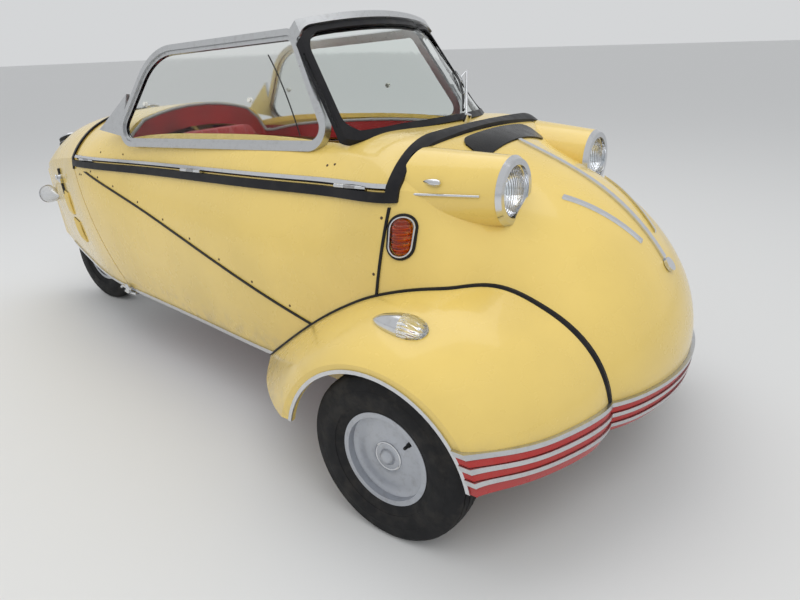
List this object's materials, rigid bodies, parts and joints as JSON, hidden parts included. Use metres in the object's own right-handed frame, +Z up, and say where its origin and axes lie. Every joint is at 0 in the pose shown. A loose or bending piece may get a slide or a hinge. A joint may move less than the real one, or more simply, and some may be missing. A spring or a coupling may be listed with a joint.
{
  "type": "vehicle.microcar.three_wheeled",
  "caption": "Small vintage three-wheeled bubble car with tandem seats, open cockpit, curved windscreen, side-hinged canopy and lifting tail cover",
  "frame": {"origin": "on the ground under the middle of the car's length and width, wheels standing on z = 0", "axes": "+X is forward to the nose, +Y is the car's left, +Z is up"},
  "size_m": [2.8222, 1.238, 1.1377],
  "materials": {
    "body_paint": "gloss",
    "chassis": "satin",
    "underside": "satin",
    "board": "matte",
    "black_rubber": "matte",
    "red_rubber": "satin",
    "chrome": "polished",
    "plate_black": "gloss",
    "aluminium": "satin",
    "lamp_glass": "clear",
    "clear_glass": "clear",
    "amber": "clear",
    "dash_paint": "gloss",
    "red_vinyl": "satin",
    "engine": "matte",
    "steel": "satin",
    "wheel_paint": "gloss",
    "tyre": "matte",
    "bar_plastic": "satin"
  },
  "bodies": {
    "body": {"floor_pan": "underside", "chassis_frame": "chassis", "front_axle": "chassis", "wheel_houses": "underside", "nose_shell": "body_paint", "fenders": "body_paint", "upper_sides": "body_paint", "lower_sides": "body_paint", "rear_bulkhead": "board", "body_seals": "black_rubber", "piping": "black_rubber", "bright_trim": "chrome", "front_plate": "plate_black", "bumper_strips": "aluminium", "bumper_bands": "red_rubber", "lamp_rims": "chrome", "lamp_lenses": "lamp_glass", "indicators": "amber", "dashboard": "dash_paint", "steering_column": "chassis", "seat_frame": "chassis", "bench_base": "board", "front_seat": "red_vinyl", "rear_bench": "red_vinyl", "engine_block": "engine", "swing_arm": "chassis", "hinge_leaves": "steel"},
    "knuckle_right": {"knuckle_right": "chassis"},
    "knuckle_left": {"knuckle_left": "chassis"},
    "wheel_right": {"wheel_right": "wheel_paint", "tyre_right": "tyre"},
    "wheel_left": {"wheel_left": "wheel_paint", "tyre_left": "tyre"},
    "wheel_rear": {"wheel_rear": "wheel_paint", "tyre_rear": "tyre"},
    "steering": {"steering_bar": "bar_plastic"},
    "canopy": {"canopy_shell": "body_paint", "screen_glass": "clear_glass", "screen_seal": "black_rubber", "header_bar": "aluminium", "window_frames": "chrome", "side_panes": "clear_glass", "canopy_rails": "aluminium", "wiper": "steel", "canopy_hinge": "steel", "belt_trim": "chrome"},
    "tail": {"tail_cover": "body_paint", "tail_seal": "black_rubber", "tail_fittings": "chrome", "rear_lamps": "amber", "tail_hinge": "steel"}
  },
  "joints": [
    {"name": "steering", "type": "hinge", "parent": "body", "child": "steering", "pos_m": [0.56, 0, 0.69], "axis": [-0.7152, 0, 0.6989], "range_deg": [-30, 30]},
    {"name": "steer_right", "type": "hinge", "parent": "body", "child": "knuckle_right", "pos_m": [0.95, -0.462, 0.205], "axis": [0, 0, 1], "range_deg": [-30, 30]},
    {"name": "steer_left", "type": "hinge", "parent": "body", "child": "knuckle_left", "pos_m": [0.95, 0.462, 0.205], "axis": [0, 0, 1], "range_deg": [-30, 30]},
    {"name": "roll_right", "type": "hinge", "parent": "knuckle_right", "child": "wheel_right", "pos_m": [0.95, -0.54, 0.205], "axis": [0, 1, 0], "continuous": true},
    {"name": "roll_left", "type": "hinge", "parent": "knuckle_left", "child": "wheel_left", "pos_m": [0.95, 0.54, 0.205], "axis": [0, 1, 0], "continuous": true},
    {"name": "roll_rear", "type": "hinge", "parent": "body", "child": "wheel_rear", "pos_m": [-1.08, 0, 0.205], "axis": [0, 1, 0], "continuous": true},
    {"name": "canopy_lift", "type": "hinge", "parent": "body", "child": "canopy", "pos_m": [0.1, -0.35368, 0.73183], "axis": [0.9974, -0.0647, 0.033], "range_deg": [0, 75]},
    {"name": "tail_lift", "type": "hinge", "parent": "body", "child": "tail", "pos_m": [-0.655, 0, 0.859], "axis": [0, 1, 0], "range_deg": [0, 60]}
  ],
  "couplings": [
    {"joint": "steer_right", "follows": "steering", "ratio": 1},
    {"joint": "steer_left", "follows": "steering", "ratio": 1}
  ]
}
